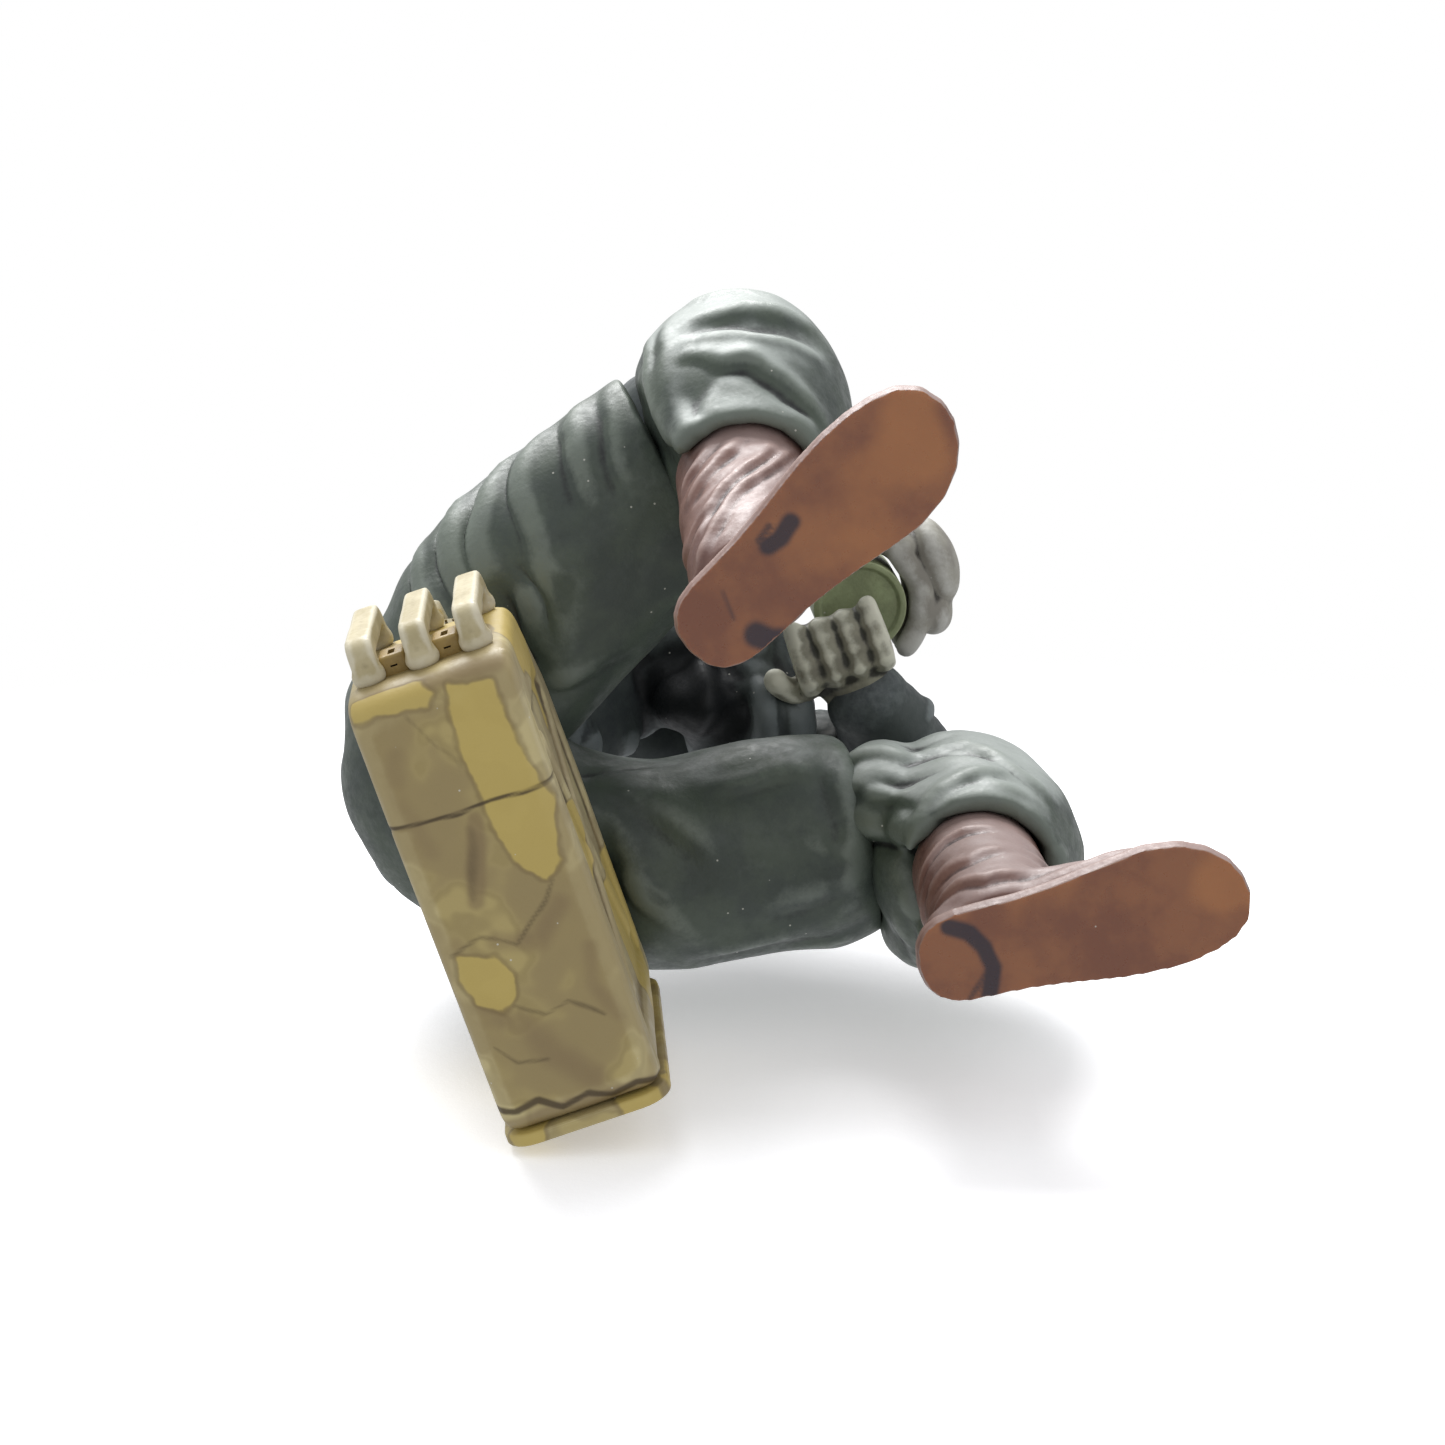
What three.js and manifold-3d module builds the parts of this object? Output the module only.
// Seated soldier miniature on a fuel can, 1:32, assembled from plug-fit plastic mouldings.
// Millimetres, +Z up. The figure faces -Y; its left is +X.
// The origin is the centre of the can's underside, which lies in the same plane as both boot soles.

import * as THREE from 'three';
import { mergeVertices } from 'three/addons/utils/BufferGeometryUtils.js';
import Module from 'manifold-3d';

const wasm = await Module();
wasm.setup();

// ---------- driving dimensions ----------

// Fuel can, lying on its long narrow side
const CAN_LENGTH = 14.7;
const CAN_THICKNESS = 5.16;
const CAN_HEIGHT = 10.78;
const CAN_EDGE_RADIUS = 0.45;
const CAN_CORNER_RADIUS = 1.1;
const CAN_SHOULDER_BEVEL = 3.4;
const CAN_BASE_THICKNESS = 0.34;
const CAN_BASE_FLARE = 0.12;
const CAN_PANEL_DEPTH = 0.16;
const CAN_PANEL_MARGIN = 1.3;
const CAN_RIB_WIDTH = 0.75;
const HANDLE_PITCH = 1.7;
const HANDLE_WIDTH = 0.74;
const HANDLE_RISE = 1.25;
const HANDLE_BAR = 0.6;
const HANDLE_REACH = 5.4;
const HANDLE_START = 0.35;
const CAP_RADIUS = 1.15;
const CAP_HEIGHT = 0.8;
const LEVER_WIDTH = 0.5;
const LEVER_LENGTH = 2.9;

// Clearances
const SEAM_GAP = 0.1;
const PIECE_GAP = 0.3;
const PEG_CLEARANCE = 0.1;

// Pegs that join the mouldings
const PEG_RADIUS = 0.75;
const PEG_DEPTH = 1.5;
const PEG_SIDES = 12;

// Legs
const PELVIS_TURN = 16;
const HIP_SPACING = 6.1;
const PELVIS_BACK = 1.25;
const THIGH_RADIUS = 4.0;
const THIGH_DROP = 0.25;
const KNEE_HEIGHT = 14.7;
const KNEE_RADIUS = 3.65;
const RIGHT_KNEE_X = -9.6;
const RIGHT_KNEE_Y = -11.6;
const LEFT_KNEE_X = 7.5;
const LEFT_KNEE_Y = -14.3;
const SEAM_BACK = 2.9;
const CUFF_HEIGHT = 7.9;
const CUFF_RADIUS = 2.75;

// Boots
const BOOT_LENGTH = 10.4;
const BOOT_WIDTH = 3.95;
const HEEL_WIDTH = 2.9;
const SOLE_THICKNESS = 0.55;
const BOOT_SHAFT_RADIUS = 2.25;
const ANKLE_HEIGHT = 2.6;
const ANKLE_SHARE = 0.27;
const RIGHT_FOOT_X = -7.65;
const RIGHT_FOOT_Y = -12.45;
const RIGHT_TOE_OUT = 25;
const LEFT_FOOT_X = 6.75;
const LEFT_FOOT_Y = -16.35;
const LEFT_TOE_OUT = 5;

// Torso
const HEM_DROP = 1.6;
const SKIRT_HALF_WIDTH = 5.85;
const SKIRT_HALF_DEPTH = 4.15;
const LAPEL_REACH = 3.6;
const CHEST_HALF_WIDTH = 5.2;
const CHEST_HALF_DEPTH = 4.1;
const TORSO_RISE = 11.6;
const TORSO_LEAN = 8.6;
const SHOULDER_HALF_WIDTH = 3.7;
const SHOULDER_LIFT = -0.3;
const SHOULDER_TWIST = 1.2;

// Arms
const SLEEVE_SHOULDER = 2.1;
const SLEEVE_ELBOW = 2.05;
const SLEEVE_CUFF = 1.55;
const ELBOW_REST = 0.35;
const FINGER_RADIUS = 0.46;
const FINGER_PITCH = 0.86;

// Cup
const CUP_RADIUS = 1.72;
const CUP_HEIGHT = 3.5;
const CUP_WALL = 0.3;

// Head
const HEAD_HEIGHT = 7.3;
const HEAD_WIDTH = 5.0;
const HEAD_DEPTH = 6.2;
const NECK_RADIUS = 1.85;
const HEAD_TURN = 8;
const HEAD_NOD = 16;
const CAP_BAND_HEIGHT = 1.5;
const CAP_CROWN_RISE = 1.9;
const PEAK_REACH = 1.7;
const PEAK_THICKNESS = 0.35;

// ---------- materials ----------

const finish = (color, roughness) => new THREE.MeshStandardMaterial({ color, roughness, metalness: 0 });
const clothPaint = finish(0x4b524b, 0.6);
const bootPlastic = finish(0x8a6353, 0.45);
const glovePaint = finish(0x77766a, 0.6);
const canPaint = finish(0xa59766, 0.55);
const cupPaint = finish(0x7b8069, 0.5);
const skinPaint = finish(0xb98b72, 0.55);
const capPaint = finish(0x454b44, 0.6);
const pegPlastic = finish(0x8a6353, 0.5);

// ---------- shared geometry ----------

const v = (x, y, z) => new THREE.Vector3(x, y, z);
const rad = THREE.MathUtils.degToRad;
const UP = v(0, 0, 1);

// Closed triangle mesh to solid, and back again.
function toSolid(geometry) {
  const bare = geometry.clone();
  bare.deleteAttribute('normal');
  bare.deleteAttribute('uv');
  const merged = mergeVertices(bare, 1e-5);
  const mesh = new wasm.Mesh({
    numProp: 3,
    vertProperties: new Float32Array(merged.attributes.position.array),
    triVerts: new Uint32Array(merged.index.array),
  });
  return new wasm.Manifold(mesh);
}

function toGeometry(solid) {
  const mesh = solid.getMesh();
  const geometry = new THREE.BufferGeometry();
  geometry.setAttribute('position', new THREE.BufferAttribute(new Float32Array(mesh.vertProperties), 3));
  geometry.setIndex(new THREE.BufferAttribute(new Uint32Array(mesh.triVerts), 1));
  return geometry;
}

// The same outline as plain corners, without the doubled points where its stretches meet.
function tidyOutline(shape, divisions = 4) {
  const corners = shape.getPoints(divisions);
  const apart = corners.filter((p, i) => i === 0 || p.distanceTo(corners[i - 1]) > 1e-4);
  if (apart[0].distanceTo(apart[apart.length - 1]) < 1e-4) apart.pop();
  return new THREE.Shape(apart);
}

const join = (...solids) => solids.reduce((whole, next) => whole.add(next));
const cut = (solid, ...tools) => tools.reduce((left, tool) => left.subtract(tool), solid);

// What is left of a solid once the loose offcuts of a cut have dropped away.
const mainBody = (solid) => solid.decompose().reduce((a, b) => (a.volume() > b.volume() ? a : b));

// A body swept along a path: oval rings whose half-axes follow `sizes`, with rounded or flat ends.
// Each size is [half-width along the side vector, half-depth across it].
function sweep(points, sizes, { sides = 16, rings = 10, across = UP, domes = [true, true] } = {}) {
  const path = new THREE.CatmullRomCurve3(points);
  const widths = new THREE.SplineCurve(sizes.map(([a, b]) => new THREE.Vector2(a, b)));
  const stations = [];
  const domeSteps = [0, 0.5, 0.86];
  for (let i = 0; i <= rings; i += 1) {
    const t = i / rings;
    const centre = path.getPoint(t);
    const tangent = path.getTangent(t);
    const size = widths.getPoint(t);
    stations.push({ centre, tangent, a: size.x, b: size.y });
  }
  const dome = (end, sign) => domeSteps.slice(1).reverse().map((s) => {
    const shrink = Math.sqrt(1 - s * s);
    const reach = sign * s * Math.min(end.a, end.b);
    return {
      centre: end.centre.clone().addScaledVector(end.tangent, reach),
      tangent: end.tangent,
      a: end.a * shrink,
      b: end.b * shrink,
    };
  });
  if (domes[0]) stations.unshift(...dome(stations[0], -1));
  if (domes[1]) stations.push(...dome(stations[stations.length - 1], 1).reverse());

  const positions = [];
  for (const { centre, tangent, a, b } of stations) {
    const side = new THREE.Vector3().crossVectors(tangent, across).normalize();
    const lift = new THREE.Vector3().crossVectors(side, tangent).normalize();
    for (let j = 0; j < sides; j += 1) {
      const angle = (2 * Math.PI * j) / sides;
      const p = centre.clone();
      p.addScaledVector(side, a * Math.cos(angle));
      p.addScaledVector(lift, b * Math.sin(angle));
      positions.push(p.x, p.y, p.z);
    }
  }
  const poles = [0, 1].map((which) => {
    const end = stations[which * (stations.length - 1)];
    const near = stations[which === 0 ? 1 : stations.length - 2];
    const tip = end.centre.clone();
    if (domes[which]) tip.add(end.centre.clone().sub(near.centre).multiplyScalar(0.35));
    positions.push(tip.x, tip.y, tip.z);
    return stations.length * sides + which;
  });
  const index = [];
  for (let i = 0; i < stations.length - 1; i += 1) {
    for (let j = 0; j < sides; j += 1) {
      const k = (j + 1) % sides;
      const [p, q, r, s] = [i * sides + j, i * sides + k, (i + 1) * sides + k, (i + 1) * sides + j];
      index.push(p, r, q, p, s, r);
    }
  }
  const last = (stations.length - 1) * sides;
  for (let j = 0; j < sides; j += 1) {
    const k = (j + 1) % sides;
    index.push(poles[0], j, k);
    index.push(poles[1], last + k, last + j);
  }
  const geometry = new THREE.BufferGeometry();
  geometry.setAttribute('position', new THREE.Float32BufferAttribute(positions, 3));
  geometry.setIndex(index);
  return toSolid(geometry);
}

function ellipsoid(centre, rx, ry, rz, turn = new THREE.Quaternion(), across = 14, down = 9) {
  const geometry = new THREE.SphereGeometry(1, across, down);
  geometry.scale(rx, ry, rz);
  geometry.applyQuaternion(turn);
  geometry.translate(centre.x, centre.y, centre.z);
  return toSolid(geometry);
}

function box(low, high) {
  const geometry = new THREE.BoxGeometry(high.x - low.x, high.y - low.y, high.z - low.z);
  geometry.translate((low.x + high.x) / 2, (low.y + high.y) / 2, (low.z + high.z) / 2);
  return toSolid(geometry);
}

// Everything on the far side of a plane, as a large block that starts at the plane.
function beyond(point, normal, gap = 0) {
  const reach = 60;
  const geometry = new THREE.BoxGeometry(reach, reach, reach);
  geometry.translate(0, 0, reach / 2 + gap);
  geometry.applyQuaternion(new THREE.Quaternion().setFromUnitVectors(UP, normal));
  geometry.translate(point.x, point.y, point.z);
  return toSolid(geometry);
}

function rod(centre, direction, radius, length, sides = PEG_SIDES) {
  const geometry = new THREE.CylinderGeometry(radius, radius, length, sides);
  geometry.rotateX(Math.PI / 2);
  geometry.applyQuaternion(new THREE.Quaternion().setFromUnitVectors(UP, direction));
  geometry.translate(centre.x, centre.y, centre.z);
  return toSolid(geometry);
}

// A peg across a seam, and the pair of sockets it needs.
const peg = (seam) => rod(seam.point, seam.normal, PEG_RADIUS, 2 * PEG_DEPTH);
const socket = (seam) => rod(
  seam.point,
  seam.normal,
  PEG_RADIUS + PEG_CLEARANCE,
  2 * (PEG_DEPTH + PEG_CLEARANCE),
);

const group = new THREE.Group();

function add(name, solid, material) {
  const mesh = new THREE.Mesh(toGeometry(solid), material);
  mesh.name = name;
  group.add(mesh);
}

// ---------- the pose, as the centres of the joints ----------

const turnPelvis = new THREE.Quaternion().setFromAxisAngle(UP, rad(-PELVIS_TURN));
const pelvisSide = v(1, 0, 0).applyQuaternion(turnPelvis);
const pelvisFront = v(0, -1, 0).applyQuaternion(turnPelvis);
const hipHeight = CAN_HEIGHT + PIECE_GAP + THIGH_RADIUS - THIGH_DROP - 0.7;
const pelvis = v(-0.2, PELVIS_BACK, hipHeight);
const rightHip = pelvis.clone().addScaledVector(pelvisSide, -HIP_SPACING / 2);
const leftHip = pelvis.clone().addScaledVector(pelvisSide, HIP_SPACING / 2);
const rightKnee = v(RIGHT_KNEE_X, RIGHT_KNEE_Y, KNEE_HEIGHT);
const leftKnee = v(LEFT_KNEE_X, LEFT_KNEE_Y, KNEE_HEIGHT);

const neckBase = pelvis.clone()
  .addScaledVector(pelvisFront, TORSO_LEAN)
  .add(v(0, 0, TORSO_RISE + 2.4));
const chest = pelvis.clone()
  .addScaledVector(pelvisFront, TORSO_LEAN * 0.62)
  .add(v(0, 0, TORSO_RISE));
const neckLine = v(-0.1, -0.5, 0.86).normalize();

function shoulder(side) {
  return chest.clone()
    .addScaledVector(pelvisSide, side * (SHOULDER_HALF_WIDTH + PIECE_GAP / 2))
    .addScaledVector(pelvisFront, 0.9 - side * SHOULDER_TWIST)
    .add(v(0, 0, SHOULDER_LIFT));
}
const shoulderSeams = {
  right: { point: shoulder(-1), normal: v(-0.97, 0.1, 0.05).normalize() },
  left: { point: shoulder(1), normal: v(0.97, -0.1, 0.05).normalize() },
};
const elbowHeight = KNEE_HEIGHT + KNEE_RADIUS + ELBOW_REST + SLEEVE_ELBOW;
const rightElbow = v(rightKnee.x + 0.1, rightKnee.y - 0.4, elbowHeight);
const leftElbow = v(leftKnee.x - 0.9, leftKnee.y + 0.9, elbowHeight);
const cupCentre = v(0.0, -13.6, elbowHeight + 0.25);
const rightWrist = cupCentre.clone().add(v(-3.5, -1.6, 1.5));
const leftFist = v(0.8, -12.35, elbowHeight - 1.9);
const leftWrist = leftFist.clone().add(v(2.6, -0.5, 0.75));

// Seam planes at the knees face forward, so each lower leg plugs straight on to its thigh.
function kneeSeam(knee, sideways) {
  const normal = v(sideways, -0.98, 0.06).normalize();
  return { point: knee.clone().addScaledVector(normal, -SEAM_BACK), normal };
}
const kneeSeams = { right: kneeSeam(rightKnee, -0.12), left: kneeSeam(leftKnee, 0.1) };
const waistSeam = { point: pelvis.clone().add(v(0, 0, THIGH_RADIUS - 0.6)), normal: UP };
const seatSeam = { point: v(0, 0, CAN_HEIGHT + PIECE_GAP / 2), normal: UP };
const neckSeam = { point: neckBase.clone(), normal: neckLine };

// ---------- fuel can ----------

// Broad-side outline in the XZ plane: handles at -X, base at +X, bevelled shoulder on top for the cap.
function canOutline(endX) {
  const left = -CAN_LENGTH / 2;
  const r = CAN_CORNER_RADIUS;
  const small = CAN_EDGE_RADIUS * 1.6;
  const shape = new THREE.Shape();
  shape.moveTo(left + r, 0);
  shape.lineTo(endX - small, 0);
  shape.absarc(endX - small, small, small, -Math.PI / 2, 0, false);
  shape.lineTo(endX, CAN_HEIGHT - small);
  shape.absarc(endX - small, CAN_HEIGHT - small, small, 0, Math.PI / 2, false);
  shape.lineTo(left + CAN_SHOULDER_BEVEL + r, CAN_HEIGHT);
  shape.quadraticCurveTo(
    left + CAN_SHOULDER_BEVEL,
    CAN_HEIGHT,
    left + CAN_SHOULDER_BEVEL - 0.5 * r,
    CAN_HEIGHT - 0.5 * r,
  );
  shape.lineTo(left + 0.5 * r, CAN_HEIGHT - CAN_SHOULDER_BEVEL + 0.5 * r);
  shape.quadraticCurveTo(
    left,
    CAN_HEIGHT - CAN_SHOULDER_BEVEL,
    left,
    CAN_HEIGHT - CAN_SHOULDER_BEVEL - r,
  );
  shape.lineTo(left, r);
  shape.absarc(left + r, r, r, Math.PI, 1.5 * Math.PI, false);
  return shape;
}

// An outline drawn in XZ, extruded across Y with rounded edges.
function slab(shape, centreY, width, edge) {
  const geometry = new THREE.ExtrudeGeometry(tidyOutline(shape), {
    depth: width - 2 * edge,
    bevelEnabled: edge > 0,
    bevelThickness: edge,
    bevelSize: edge,
    bevelOffset: -edge,
    bevelSegments: 2,
  });
  geometry.rotateX(Math.PI / 2);
  geometry.translate(0, centreY + width / 2 - edge, 0);
  return toSolid(geometry);
}

function canPanel(side) {
  const left = -CAN_LENGTH / 2 + CAN_PANEL_MARGIN + 1.1;
  const right = CAN_LENGTH / 2 - CAN_BASE_THICKNESS - CAN_PANEL_MARGIN;
  const low = CAN_PANEL_MARGIN;
  const high = CAN_HEIGHT - CAN_PANEL_MARGIN;
  const clip = CAN_SHOULDER_BEVEL * 0.6;
  const shape = new THREE.Shape();
  shape.moveTo(left, low);
  shape.lineTo(right, low);
  shape.lineTo(right, high);
  shape.lineTo(left + clip, high);
  shape.lineTo(left, high - clip);
  shape.closePath();
  const face = side * CAN_THICKNESS / 2;
  const pocket = slab(shape, face, 2 * CAN_PANEL_DEPTH, 0);
  const diagonal = Math.hypot(right - left, high - low) * 0.8;
  const ribs = [1, -1].map((slope) => {
    const bar = new THREE.BoxGeometry(diagonal, 4 * CAN_PANEL_DEPTH, CAN_RIB_WIDTH);
    bar.rotateY(-slope * Math.atan2(high - low, right - left));
    bar.translate((left + right) / 2, face, (low + high) / 2);
    return toSolid(bar);
  });
  return cut(pocket, ...ribs);
}

function buildCan() {
  const baseStart = CAN_LENGTH / 2 - CAN_BASE_THICKNESS;
  const bodyEnd = baseStart - SEAM_GAP;
  let body = slab(canOutline(bodyEnd), 0, CAN_THICKNESS, CAN_EDGE_RADIUS);
  body = cut(body, canPanel(-1), canPanel(1));
  body = cut(body, socket(seatSeam));
  add('can_body', body, canPaint);

  const half = CAN_THICKNESS / 2 + CAN_BASE_FLARE;
  const top = CAN_HEIGHT;
  const rim = new THREE.Shape();
  const r = CAN_CORNER_RADIUS * 0.5;
  rim.moveTo(-half + r, 0);
  rim.lineTo(half - r, 0);
  rim.absarc(half - r, r, r, -Math.PI / 2, 0, false);
  rim.lineTo(half, top - r);
  rim.absarc(half - r, top - r, r, 0, Math.PI / 2, false);
  rim.lineTo(-half + r, top);
  rim.absarc(-half + r, top - r, r, Math.PI / 2, Math.PI, false);
  rim.lineTo(-half, r);
  rim.absarc(-half + r, r, r, Math.PI, 1.5 * Math.PI, false);
  const plate = new THREE.ExtrudeGeometry(tidyOutline(rim), {
    depth: CAN_BASE_THICKNESS, bevelEnabled: false,
  });
  plate.rotateX(Math.PI / 2);
  plate.rotateZ(Math.PI / 2);
  plate.translate(baseStart, 0, 0);
  const dish = box(
    v(CAN_LENGTH / 2 - CAN_BASE_THICKNESS * 0.5, -half + 0.4, 0.55),
    v(CAN_LENGTH / 2 + 1, half - 0.4, top - 0.55),
  );
  add('can_base', cut(toSolid(plate), dish), canPaint);

  const names = ['front', 'middle', 'rear'];
  names.forEach((name, i) => {
    add(`can_handle_${name}`, handleBar((i - 1) * HANDLE_PITCH), canPaint);
  });
  buildCap();
}

// One staple-shaped bar standing on the can's end face.
function handleBar(centreY) {
  const foot = -CAN_LENGTH / 2 - SEAM_GAP;
  const top = foot - HANDLE_RISE;
  const low = HANDLE_START + CAN_CORNER_RADIUS;
  const high = low + HANDLE_REACH;
  const bar = HANDLE_BAR;
  const shape = new THREE.Shape();
  shape.moveTo(foot, low);
  shape.lineTo(foot, low + bar);
  shape.lineTo(top + bar + 0.2, low + bar);
  shape.quadraticCurveTo(top + bar, low + bar, top + bar, low + bar + 0.2);
  shape.lineTo(top + bar, high - bar - 0.2);
  shape.quadraticCurveTo(top + bar, high - bar, top + bar + 0.2, high - bar);
  shape.lineTo(foot, high - bar);
  shape.lineTo(foot, high);
  shape.lineTo(top + bar, high);
  shape.absarc(top + bar, high - bar, bar, Math.PI / 2, Math.PI, false);
  shape.lineTo(top, low + bar);
  shape.absarc(top + bar, low + bar, bar, Math.PI, 1.5 * Math.PI, false);
  shape.closePath();
  return slab(shape, centreY, HANDLE_WIDTH, 0);
}

// The screw cap and its lever stand on the bevelled shoulder.
function buildCap() {
  const out = v(-1, 0, 1).normalize();
  const middle = v(
    -CAN_LENGTH / 2 + CAN_SHOULDER_BEVEL / 2,
    0,
    CAN_HEIGHT - CAN_SHOULDER_BEVEL / 2,
  );
  const foot = middle.clone().addScaledVector(out, PIECE_GAP / 2);
  const tilt = new THREE.Quaternion().setFromUnitVectors(v(0, 1, 0), out);
  const profile = [
    new THREE.Vector2(0, 0),
    new THREE.Vector2(CAP_RADIUS, 0),
    new THREE.Vector2(CAP_RADIUS, CAP_HEIGHT * 0.75),
    new THREE.Vector2(CAP_RADIUS * 0.85, CAP_HEIGHT),
    new THREE.Vector2(0, CAP_HEIGHT),
  ];
  const lathe = new THREE.LatheGeometry(profile, 16);
  lathe.applyQuaternion(tilt);
  lathe.translate(foot.x, foot.y, foot.z);
  add('can_cap', toSolid(lathe), canPaint);

  const bar = new THREE.BoxGeometry(LEVER_LENGTH, LEVER_WIDTH, LEVER_WIDTH);
  bar.rotateY(-Math.PI / 4);
  const seat = foot.clone().addScaledVector(out, CAP_HEIGHT + SEAM_GAP + LEVER_WIDTH / 2);
  bar.translate(seat.x, seat.y, seat.z);
  add('can_lever', toSolid(bar), canPaint);
}

// ---------- legs ----------

// Hips and both thighs. `grow` thickens it, so that what lies over it can be cut with clearance.
function hipSolid(grow = 0) {
  const lower = v(0, 0, -THIGH_DROP);
  const thigh = (hip, knee, seam) => {
    const r = THIGH_RADIUS + grow;
    const k = KNEE_RADIUS + grow;
    const tube = sweep(
      [
        hip.clone().addScaledVector(pelvisFront, 0.5),
        hip.clone().lerp(knee, 0.3).add(lower),
        hip.clone().lerp(knee, 0.65).add(lower),
        knee.clone().add(v(0, 0, -0.2)),
      ],
      [[r * 0.88, r * 0.9], [r * 1.0, r * 0.95], [r * 0.96, r * 0.93], [k * 1.04, k * 0.98]],
      { sides: 18, rings: 8 },
    );
    return cut(tube, beyond(seam.point, seam.normal, grow - PIECE_GAP / 2));
  };
  const seat = ellipsoid(
    pelvis.clone().addScaledVector(pelvisFront, -0.7).add(v(0, 0, 0.1)),
    HIP_SPACING * 0.5 + 2.35 + grow,
    THIGH_RADIUS - 0.55 + grow,
    THIGH_RADIUS - 0.1 + grow,
    turnPelvis,
    16,
    9,
  );
  return join(
    seat,
    thigh(rightHip, rightKnee, kneeSeams.right),
    thigh(leftHip, leftKnee, kneeSeams.left),
  );
}

const canClearance = box(
  v(-CAN_LENGTH, -CAN_THICKNESS / 2 - PIECE_GAP, -1),
  v(CAN_LENGTH, CAN_THICKNESS / 2 + PIECE_GAP, CAN_HEIGHT + PIECE_GAP),
);

function buildHips() {
  const solid = cut(
    hipSolid(),
    canClearance,
    beyond(waistSeam.point, waistSeam.normal, -PIECE_GAP / 2),
    socket(waistSeam),
    socket(seatSeam),
    socket(kneeSeams.right),
    socket(kneeSeams.left),
  );
  add('hips', solid, clothPaint);
  add('waist_peg', peg(waistSeam), pegPlastic);
  add('seat_peg', peg(seatSeam), pegPlastic);
}

const footTurn = (side, toeOut) => new THREE.Quaternion().setFromAxisAngle(UP, rad(side * toeOut));

function anklePoint(foot, turn) {
  const back = v(0, BOOT_LENGTH * (0.5 - ANKLE_SHARE), 0).applyQuaternion(turn);
  return foot.clone().add(back).add(v(0, 0, ANKLE_HEIGHT));
}

// Point at a given height on the straight line from the ankle to the knee.
function onShin(ankle, knee, height) {
  return ankle.clone().lerp(knee, (height - ankle.z) / (knee.z - ankle.z));
}

function buildLeg(name, side, knee, foot, toeOut) {
  const seam = kneeSeams[name];
  const turn = footTurn(side, toeOut);
  const ankle = anklePoint(foot, turn);
  const cuff = onShin(ankle, knee, CUFF_HEIGHT);
  const bulge = onShin(ankle, knee, CUFF_HEIGHT + 2.6);
  const crown = knee.clone().add(v(0, 0, 0.4));
  const shaftTop = onShin(ankle, knee, CUFF_HEIGHT + 1.6);

  let shin = sweep(
    [crown, knee.clone().add(v(0, 0, -2)), bulge, cuff],
    [
      [KNEE_RADIUS, KNEE_RADIUS * 0.95],
      [KNEE_RADIUS * 1.03, KNEE_RADIUS],
      [KNEE_RADIUS * 0.97, KNEE_RADIUS * 0.97],
      [CUFF_RADIUS, CUFF_RADIUS],
    ],
    { sides: 20, rings: 9, across: v(0, 1, 0), domes: [true, false] },
  );
  const bore = sweep(
    [onShin(ankle, knee, CUFF_HEIGHT - 2), shaftTop.clone().add(v(0, 0, PIECE_GAP))],
    [
      [BOOT_SHAFT_RADIUS + PIECE_GAP * 0.7, BOOT_SHAFT_RADIUS + PIECE_GAP * 0.7],
      [BOOT_SHAFT_RADIUS + PIECE_GAP * 0.7, BOOT_SHAFT_RADIUS + PIECE_GAP * 0.7],
    ],
    { sides: 16, rings: 1, across: v(0, 1, 0), domes: [false, false] },
  );
  const behind = beyond(seam.point, seam.normal.clone().negate(), -PIECE_GAP / 2);
  shin = cut(shin, bore, behind, socket(seam));
  add(`${name}_shin`, shin, clothPaint);
  add(`${name}_knee_peg`, peg(seam), pegPlastic);
  add(`${name}_boot`, bootSolid(side, foot, turn, ankle, shaftTop), bootPlastic);
}

// Sole outline with the toe at -Y, for the left foot; the right foot is its mirror image.
function soleShape(side) {
  const heel = HEEL_WIDTH / 2;
  const ball = BOOT_WIDTH / 2;
  const back = BOOT_LENGTH / 2;
  const shape = new THREE.Shape();
  shape.moveTo(0, back);
  shape.bezierCurveTo(-side * heel * 0.9, back, -side * heel, back - 0.9, -side * heel, back - 2.0);
  shape.bezierCurveTo(-side * heel * 0.92, 0.9, -side * ball * 0.92, -0.6, -side * ball, -2.3);
  shape.bezierCurveTo(-side * ball, -4.3, -side * 0.7, -back, side * 0.25, -back);
  shape.bezierCurveTo(side * 1.7, -back, side * ball, -3.6, side * ball, -2.0);
  shape.bezierCurveTo(side * ball, -0.4, side * heel * 0.98, 1.2, side * heel, back - 2.0);
  shape.bezierCurveTo(side * heel, back - 0.9, side * heel * 0.9, back, 0, back);
  return shape;
}

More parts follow.
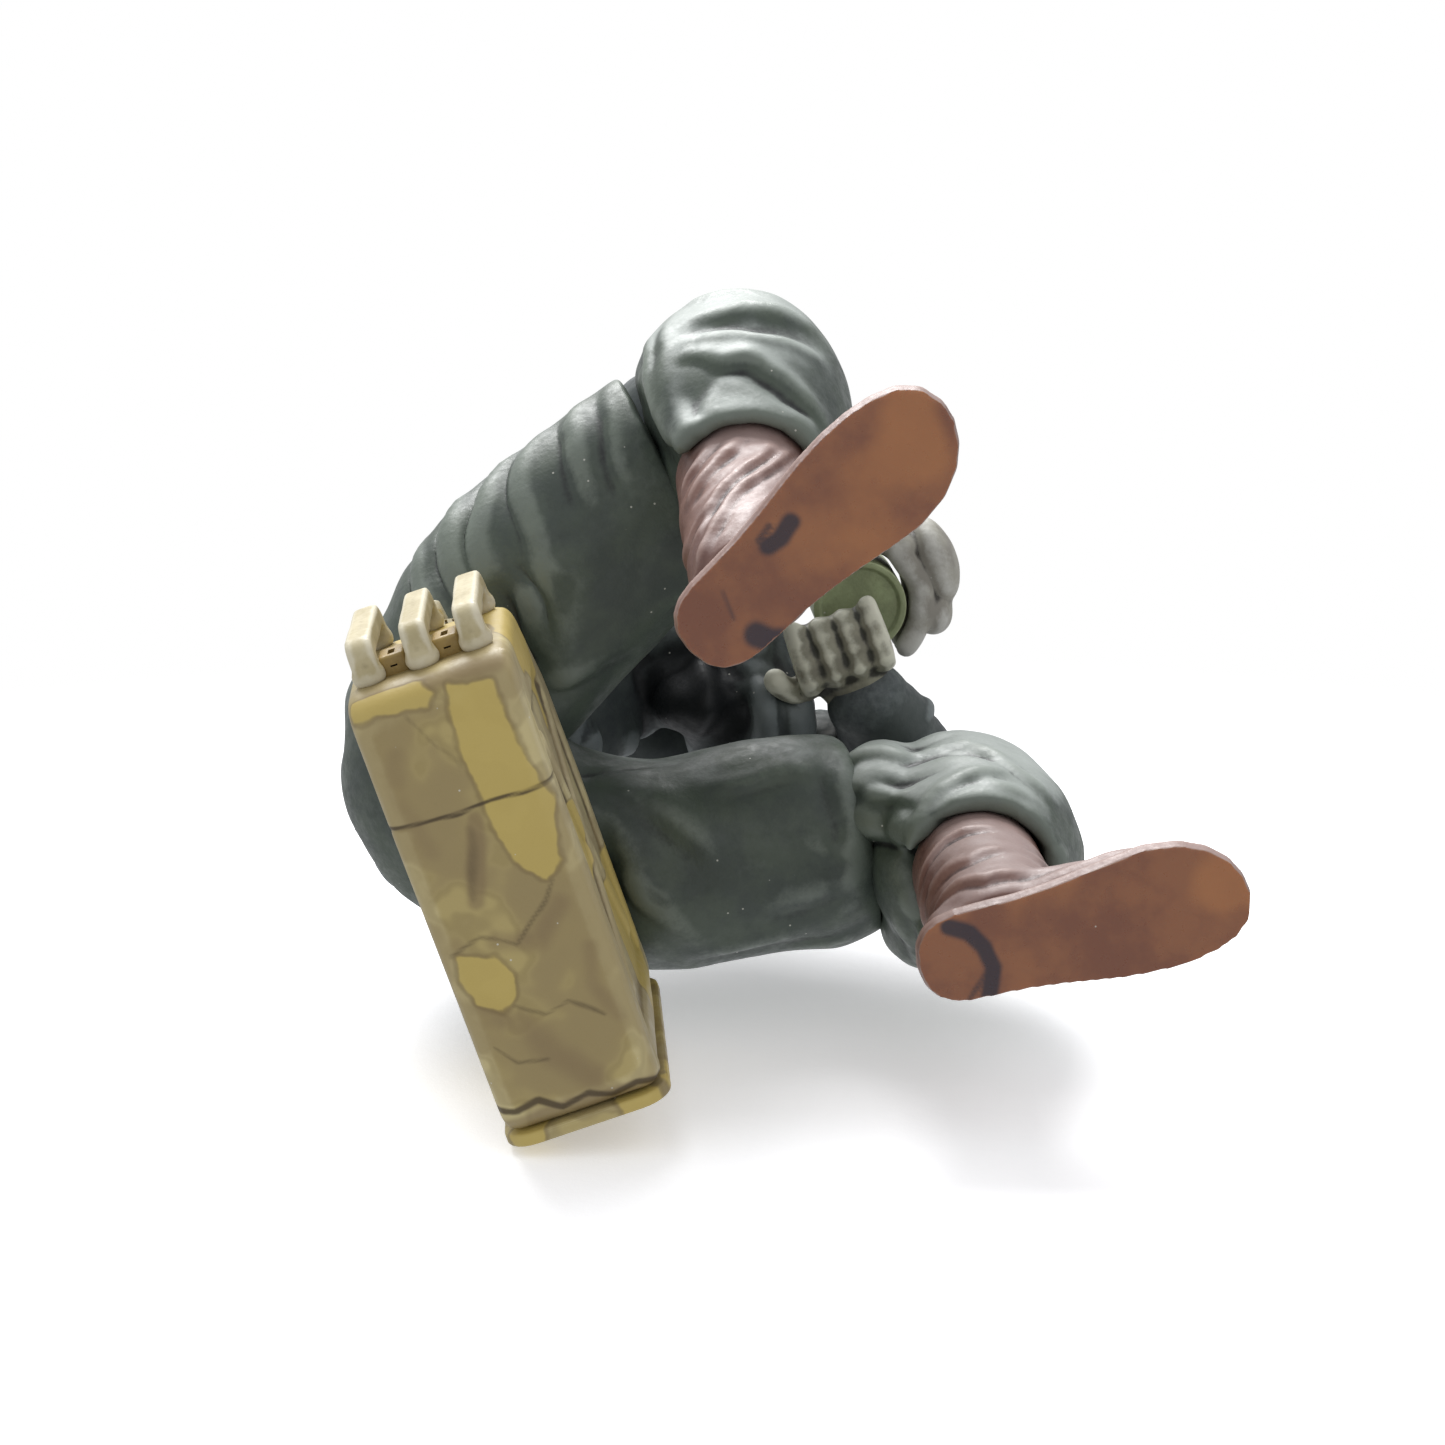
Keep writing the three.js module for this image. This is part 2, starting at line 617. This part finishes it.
function bootSolid(side, foot, turn, ankle, shaftTop) {
  const sole = new THREE.ExtrudeGeometry(tidyOutline(soleShape(side), 5), {
    depth: SOLE_THICKNESS, bevelEnabled: false,
  });
  sole.applyQuaternion(turn);
  sole.translate(foot.x, foot.y, 0);
  const place = (x, y, z) => v(x, y, 0).applyQuaternion(turn).add(v(foot.x, foot.y, z));
  const half = BOOT_LENGTH / 2;
  const upper = sweep(
    [
      place(0, half - 1.5, 1.5),
      place(0, half - 3.2, 1.75),
      place(0, 0, 1.45),
      place(side * 0.08, -half * 0.45, 1.05),
      place(side * 0.12, -half + 1.5, 0.85),
    ],
    [
      [HEEL_WIDTH * 0.43, 1.5],
      [HEEL_WIDTH * 0.47, 1.9],
      [BOOT_WIDTH * 0.42, 1.65],
      [BOOT_WIDTH * 0.455, 1.15],
      [BOOT_WIDTH * 0.36, 0.85],
    ],
    { sides: 14, rings: 8 },
  );
  const shaft = sweep(
    [ankle.clone().add(v(0, 0, -0.6)), ankle.clone().lerp(shaftTop, 0.4), shaftTop],
    [
      [BOOT_SHAFT_RADIUS * 0.84, BOOT_SHAFT_RADIUS * 0.92],
      [BOOT_SHAFT_RADIUS * 0.94, BOOT_SHAFT_RADIUS * 0.97],
      [BOOT_SHAFT_RADIUS, BOOT_SHAFT_RADIUS],
    ],
    { sides: 16, rings: 5, across: v(0, 1, 0), domes: [true, false] },
  );
  const ground = beyond(v(0, 0, SOLE_THICKNESS * 0.5), v(0, 0, -1));
  const top = beyond(v(0, 0, shaftTop.z), UP);
  return join(toSolid(sole), cut(join(upper, shaft), ground, top));
}

// ---------- torso ----------

function jacketSolid() {
  const hem = pelvis.clone().addScaledVector(pelvisFront, -0.35).add(v(0, 0, -HEM_DROP));
  const waist = pelvis.clone().addScaledVector(pelvisFront, -0.4).add(v(0, 0, 3.2));
  const belly = pelvis.clone().addScaledVector(pelvisFront, 0.6).add(v(0, 0, TORSO_RISE * 0.52));
  const trunk = sweep(
    [hem, waist, belly, chest, neckBase.clone().addScaledVector(neckLine, -1.2)],
    [
      [SKIRT_HALF_WIDTH, SKIRT_HALF_DEPTH],
      [SKIRT_HALF_WIDTH - 0.3, SKIRT_HALF_DEPTH - 0.15],
      [CHEST_HALF_WIDTH - 0.3, CHEST_HALF_DEPTH + 0.1],
      [CHEST_HALF_WIDTH, CHEST_HALF_DEPTH],
      [CHEST_HALF_WIDTH * 0.6, CHEST_HALF_DEPTH * 0.68],
    ],
    { sides: 22, rings: 10, across: pelvisFront, domes: [false, true] },
  );
  const yoke = sweep(
    [
      shoulderSeams.right.point.clone().add(v(0.3, 0, 0)),
      neckBase.clone().add(v(0, 0.9, -1.3)),
      shoulderSeams.left.point.clone().add(v(-0.3, 0, 0)),
    ],
    [[2.3, 2.3], [2.5, 2.4], [2.3, 2.3]],
    { sides: 14, rings: 6, across: v(0, -1, 0) },
  );
  const collar = sweep(
    [neckBase.clone().addScaledVector(neckLine, -1.4), neckBase.clone().addScaledVector(neckLine, 0.6)],
    [[NECK_RADIUS + 1.15, NECK_RADIUS + 1.05], [NECK_RADIUS + 0.75, NECK_RADIUS + 0.7]],
    { sides: 16, rings: 2, across: v(0, -1, 0), domes: [false, false] },
  );
  // The open jacket front hangs forward over the lap.
  const lapel = ellipsoid(chest.clone().add(v(2.6, -LAPEL_REACH, -3.2)), 2.9, 2.7, 2.7);
  return join(trunk, yoke, collar, lapel);
}

function buildJacket() {
  const solid = cut(
    jacketSolid(),
    hipClearance(),
    canClearance,
    beyond(shoulderSeams.right.point, shoulderSeams.right.normal, -PIECE_GAP / 2),
    beyond(shoulderSeams.left.point, shoulderSeams.left.normal, -PIECE_GAP / 2),
    beyond(neckSeam.point, neckSeam.normal, -PIECE_GAP / 2),
    socket(shoulderSeams.right),
    socket(shoulderSeams.left),
    socket(neckSeam),
    socket(waistSeam),
  );
  add('jacket', mainBody(solid), clothPaint);
}

// The space that the hips need under the jacket: as thick as the hips plus the gap, up to the waist.
function hipClearance() {
  return cut(
    hipSolid(PIECE_GAP),
    beyond(waistSeam.point, waistSeam.normal, PIECE_GAP / 2),
  );
}

// ---------- arms ----------

function sleeveSolid(seam, elbow, wrist) {
  const start = seam.point.clone().addScaledVector(seam.normal, 1.5);
  const upperArm = start.clone().lerp(elbow, 0.5).addScaledVector(seam.normal, 0.3);
  const forearm = elbow.clone().lerp(wrist, 0.55);
  const upper = sweep(
    [start, upperArm, elbow],
    [
      [SLEEVE_SHOULDER, SLEEVE_SHOULDER],
      [SLEEVE_SHOULDER * 0.96, SLEEVE_SHOULDER * 0.96],
      [SLEEVE_ELBOW, SLEEVE_ELBOW],
    ],
    { sides: 14, rings: 6, across: v(0.3, 0.1, 0.95) },
  );
  const lower = sweep(
    [elbow, forearm, wrist],
    [
      [SLEEVE_ELBOW * 0.99, SLEEVE_ELBOW * 0.99],
      [SLEEVE_ELBOW * 0.92, SLEEVE_ELBOW * 0.9],
      [SLEEVE_CUFF, SLEEVE_CUFF],
    ],
    { sides: 14, rings: 5, across: v(0.3, 0.1, 0.95), domes: [true, false] },
  );
  const hub = rod(seam.point.clone().addScaledVector(seam.normal, 1.2), seam.normal, 1.9, 2.2, 16);
  const inner = beyond(seam.point, seam.normal.clone().negate(), -PIECE_GAP / 2);
  return join(cut(join(upper, hub), inner, socket(seam)), lower);
}

// Everything on the elbow's side of a cuff, with the gap that a hand keeps to its sleeve.
const behindCuff = (wrist, elbow) => beyond(wrist, elbow.clone().sub(wrist).normalize(), -PIECE_GAP);

// A finger as a bent tube through its joints.
function finger(joints, radius = FINGER_RADIUS) {
  return sweep(
    joints,
    joints.map(() => [radius, radius]),
    { sides: 6, rings: joints.length + 2, across: v(0.2, 1, 0.15) },
  );
}

// Left fist: palm down, knuckles in a row along Y, fingertips curled back under the palm.
function leftHandSolid() {
  const palm = sweep(
    [
      leftWrist,
      leftFist.clone().add(v(0.9, -0.1, 0.3)),
      leftFist.clone().add(v(-0.75, 0, 0.35)),
    ],
    [[SLEEVE_CUFF * 0.72, SLEEVE_CUFF * 0.66], [1.55, 0.75], [1.65, 0.62]],
    { sides: 12, rings: 5, domes: [false, true] },
  );
  const fingers = [-1.5, -0.5, 0.5, 1.5].map((place) => {
    const at = (x, z) => leftFist.clone().add(v(x, place * FINGER_PITCH, z));
    return finger([at(-1.1, 0.45), at(-1.55, -0.25), at(-0.75, -0.95), at(0.75, -0.9), at(1.0, -0.4)]);
  });
  const thumb = finger([
    leftFist.clone().add(v(1.2, 1.35, 0.1)),
    leftFist.clone().add(v(0.7, 2.2, -0.35)),
    leftFist.clone().add(v(0.1, 2.55, -0.75)),
  ], FINGER_RADIUS * 1.1);
  const filling = ellipsoid(leftFist.clone().add(v(0, 0, -0.2)), 1.35, 1.75, 0.95);
  return mainBody(cut(join(palm, filling, ...fingers, thumb), behindCuff(leftWrist, leftElbow)));
}

// Right hand: fingers run round the front of the cup, the thumb round its back.
function rightHandSolid() {
  const grip = CUP_RADIUS + FINGER_RADIUS + 0.16;
  const palmCentre = cupCentre.clone().add(v(-grip - 0.55, -0.6, 1.55));
  const palm = sweep(
    [
      rightWrist,
      palmCentre.clone().add(v(0.1, -0.2, 0)),
      cupCentre.clone().add(v(-grip * 0.62, -grip * 0.98, 1.55)),
    ],
    [[SLEEVE_CUFF * 0.66, SLEEVE_CUFF * 0.7], [0.72, 1.6], [0.58, 1.55]],
    { sides: 12, rings: 5, domes: [false, true] },
  );
  const around = (angle, z, r = grip) => cupCentre.clone()
    .add(v(r * Math.cos(angle), r * Math.sin(angle), z));
  const fingers = [0, 1, 2, 3].map((i) => {
    const z = 0.3 + i * FINGER_PITCH;
    return finger([
      around(rad(-128), z, grip + 0.1),
      around(rad(-95), z),
      around(rad(-62), z),
      around(rad(-30), z, grip + 0.03),
    ]);
  });
  const thumb = finger([
    around(rad(-168), 1.5, grip + 0.25),
    around(rad(165), 2.2, grip + 0.1),
    around(rad(130), 2.6, grip + 0.06),
  ], FINGER_RADIUS * 1.1);
  const room = rod(
    cupCentre.clone().add(v(0, 0, CUP_HEIGHT / 2)),
    UP,
    CUP_RADIUS + SEAM_GAP,
    CUP_HEIGHT + 4,
    24,
  );
  return mainBody(cut(join(palm, ...fingers, thumb), room, behindCuff(rightWrist, rightElbow)));
}

function buildCup() {
  const inner = CUP_RADIUS - CUP_WALL;
  const profile = [
    new THREE.Vector2(0, 0),
    new THREE.Vector2(CUP_RADIUS - 0.2, 0),
    new THREE.Vector2(CUP_RADIUS - 0.05, 0.18),
    new THREE.Vector2(CUP_RADIUS, CUP_HEIGHT),
    new THREE.Vector2(inner, CUP_HEIGHT),
    new THREE.Vector2(inner, CUP_WALL),
    new THREE.Vector2(0, CUP_WALL),
  ];
  const lathe = new THREE.LatheGeometry(profile, 24);
  lathe.rotateX(Math.PI / 2);
  lathe.translate(cupCentre.x, cupCentre.y, cupCentre.z);
  add('cup', toSolid(lathe), cupPaint);

  // A wire handle, folded against the side that faces the figure.
  const out = CUP_RADIUS + SEAM_GAP + 0.2;
  const spot = (reach, z) => cupCentre.clone().add(v(0.6 * reach, 0.8 * reach, z));
  const wire = sweep(
    [
      spot(out, 0.7),
      spot(out + 0.6, 0.85),
      spot(out + 0.75, 1.7),
      spot(out + 0.6, 2.6),
      spot(out, 2.75),
    ],
    [[0.2, 0.2], [0.2, 0.2], [0.2, 0.2], [0.2, 0.2], [0.2, 0.2]],
    { sides: 8, rings: 12, across: v(-0.8, 0.6, 0) },
  );
  add('cup_handle', wire, cupPaint);
}

function buildArms() {
  add('right_sleeve', sleeveSolid(shoulderSeams.right, rightElbow, rightWrist), clothPaint);
  add('right_hand', rightHandSolid(), glovePaint);
  add('right_shoulder_peg', peg(shoulderSeams.right), pegPlastic);
  add('left_sleeve', sleeveSolid(shoulderSeams.left, leftElbow, leftWrist), clothPaint);
  add('left_hand', leftHandSolid(), glovePaint);
  add('left_shoulder_peg', peg(shoulderSeams.left), pegPlastic);
}

// ---------- head ----------

const headTurn = new THREE.Quaternion()
  .setFromAxisAngle(UP, rad(-HEAD_TURN))
  .multiply(new THREE.Quaternion().setFromAxisAngle(v(1, 0, 0), rad(HEAD_NOD)));
const headCentre = neckBase.clone()
  .addScaledVector(neckLine, 1.1 + HEAD_HEIGHT * 0.42)
  .add(v(0, -0.5, 0));

// Position in the head's own frame: x to its left, y to its back, z to its crown.
const inHead = (x, y, z) => v(x, y, z).applyQuaternion(headTurn).add(headCentre);

function headSolid() {
  const skull = ellipsoid(
    inHead(0, 0.35, 0.75),
    HEAD_WIDTH / 2,
    HEAD_DEPTH / 2 - 0.1,
    HEAD_HEIGHT / 2 - 0.75,
    headTurn,
    14,
    9,
  );
  const jaw = ellipsoid(
    inHead(0, -0.75, -1.25),
    HEAD_WIDTH * 0.4,
    HEAD_DEPTH * 0.34,
    HEAD_HEIGHT * 0.33,
    headTurn,
    12,
    8,
  );
  const nose = sweep(
    [inHead(0, -2.5, 0.35), inHead(0, -3.15, -0.75)],
    [[0.28, 0.3], [0.42, 0.36]],
    { sides: 8, rings: 2 },
  );
  const ears = [-1, 1].map((side) => ellipsoid(
    inHead(side * (HEAD_WIDTH / 2 - 0.05), 0.35, -0.4),
    0.3,
    0.55,
    0.85,
    headTurn,
    8,
    6,
  ));
  const neck = sweep(
    [neckBase.clone(), neckBase.clone().lerp(inHead(0, 0.9, -1.2), 0.5), inHead(0, 0.9, -1.2)],
    [[NECK_RADIUS, NECK_RADIUS], [NECK_RADIUS * 0.95, NECK_RADIUS * 0.95], [NECK_RADIUS, NECK_RADIUS]],
    { sides: 14, rings: 3, across: v(0, -1, 0), domes: [true, true] },
  );
  return cut(
    join(skull, jaw, nose, neck, ...ears),
    beyond(neckSeam.point, neckSeam.normal.clone().negate(), -PIECE_GAP / 2),
    socket(neckSeam),
    beyond(inHead(0, 0, capLine), UP.clone().applyQuaternion(headTurn)),
  );
}

const capLine = HEAD_HEIGHT * 0.21;

function buildCapPieces() {
  const band = HEAD_WIDTH / 2 + 0.25;
  const long = HEAD_DEPTH / 2 + 0.2;
  const tilt = v(0, -1, 0).applyQuaternion(headTurn);
  const crown = sweep(
    [
      inHead(0, 0.3, capLine + PIECE_GAP),
      inHead(0, 0.3, capLine + CAP_BAND_HEIGHT),
      inHead(0, 0.25, capLine + CAP_BAND_HEIGHT + CAP_CROWN_RISE * 0.6),
      inHead(0, 0.2, capLine + CAP_BAND_HEIGHT + CAP_CROWN_RISE * 0.8),
    ],
    [[band, long], [band + 0.12, long + 0.1], [band - 0.35, long - 0.35], [band - 1.3, long - 1.5]],
    { sides: 18, rings: 5, across: tilt, domes: [false, true] },
  );
  add('cap', crown, capPaint);

  const shape = new THREE.Shape();
  const half = band * 0.86;
  const root = -long * 0.62;
  shape.moveTo(-half, root);
  shape.bezierCurveTo(-half, -long - PEAK_REACH, half, -long - PEAK_REACH, half, root);
  shape.closePath();
  const peak = new THREE.ExtrudeGeometry(tidyOutline(shape, 12), {
    depth: PEAK_THICKNESS, bevelEnabled: false,
  });
  peak.translate(0, 0.3, 0);
  const peakAt = inHead(0, 0, capLine + PIECE_GAP);
  const placed = toSolid(peak.applyQuaternion(headTurn).translate(peakAt.x, peakAt.y, peakAt.z));
  const head = sweep(
    [inHead(0, 0.3, capLine - 1), inHead(0, 0.3, capLine + CAP_BAND_HEIGHT + 1)],
    [
      [band + PIECE_GAP + 0.15, long + PIECE_GAP + 0.15],
      [band + PIECE_GAP + 0.15, long + PIECE_GAP + 0.15],
    ],
    { sides: 24, rings: 1, across: tilt, domes: [false, false] },
  );
  add('cap_peak', cut(placed, head), capPaint);
}

function buildHead() {
  add('head', headSolid(), skinPaint);
  add('neck_peg', peg(neckSeam), pegPlastic);
  buildCapPieces();
}

buildCan();
buildHips();
buildLeg('right', -1, rightKnee, v(RIGHT_FOOT_X, RIGHT_FOOT_Y, 0), RIGHT_TOE_OUT);
buildLeg('left', 1, leftKnee, v(LEFT_FOOT_X, LEFT_FOOT_Y, 0), LEFT_TOE_OUT);
buildJacket();
buildArms();
buildCup();
buildHead();

export default group;
